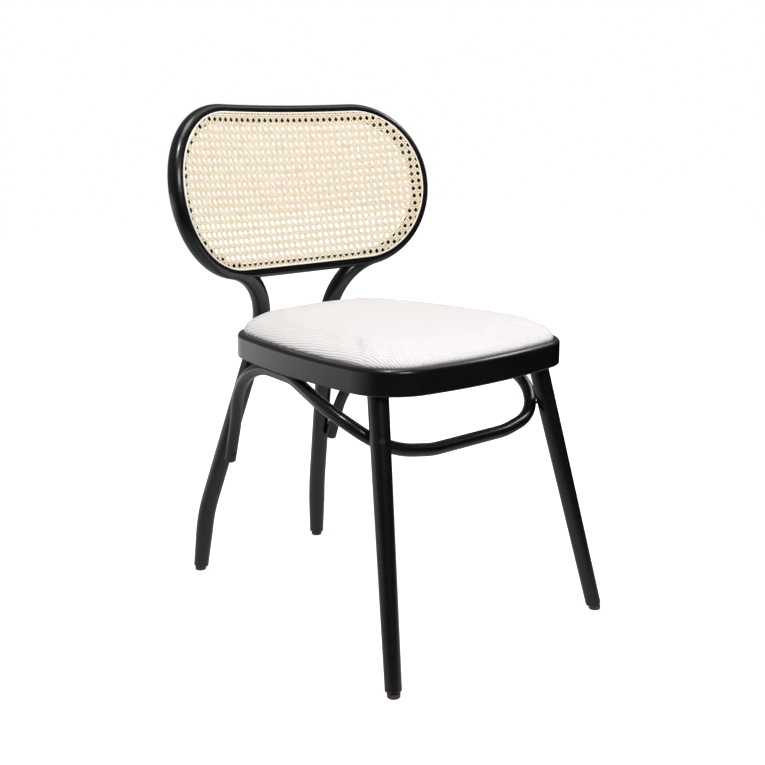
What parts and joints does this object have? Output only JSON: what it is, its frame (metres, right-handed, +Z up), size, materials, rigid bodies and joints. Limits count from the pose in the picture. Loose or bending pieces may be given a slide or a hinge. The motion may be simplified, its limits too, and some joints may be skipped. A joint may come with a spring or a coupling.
{
  "type": "bentwood bistro chair",
  "caption": "Black bentwood bistro chair with a caned loop back, a curved under-seat brace and a cream upholstered drop-in seat.",
  "frame": {"origin": "on the floor under the middle of the chair's bounding box", "axes": "+Z up, the chair faces -Y, +X is the sitter's left"},
  "size_m": [0.5408, 0.6091, 0.8026],
  "materials": {
    "frame_wood": "satin black lacquer over bent beech",
    "inner_wood": "raw plywood and beech, unseen",
    "cane": "woven natural cane, matt",
    "reed": "round natural reed, matt",
    "foam": "upholstery foam",
    "seat_cloth": "off-white ribbed cloth",
    "glide_plastic": "dark brown moulded plastic",
    "steel": "zinc-plated steel",
    "dark_screw": "blackened steel"
  },
  "bodies": {
    "root": {"back_hoop": "frame_wood", "lower_back_rail": "frame_wood", "seat_ring": "frame_wood", "front_leg_left": "frame_wood", "front_leg_right": "frame_wood", "leg_brace": "frame_wood", "corner_block_left": "inner_wood", "corner_block_right": "inner_wood", "rail_dowels": "inner_wood", "cane_panel": "cane", "cane_spline": "reed", "seat_board": "inner_wood", "seat_foam": "foam", "seat_cover": "seat_cloth", "glide_front_left": "glide_plastic", "glide_front_right": "glide_plastic", "glide_rear_left": "glide_plastic", "glide_rear_right": "glide_plastic", "glide_nails": "steel", "rear_leg_bolts": "steel", "bolt_washers": "steel", "bolt_nuts": "steel", "brace_rear_screws": "dark_screw", "brace_leg_screws": "dark_screw", "brace_ring_screws": "dark_screw", "leg_tenon_screws": "steel", "seat_pad_screws": "steel"}
  },
  "joints": []
}
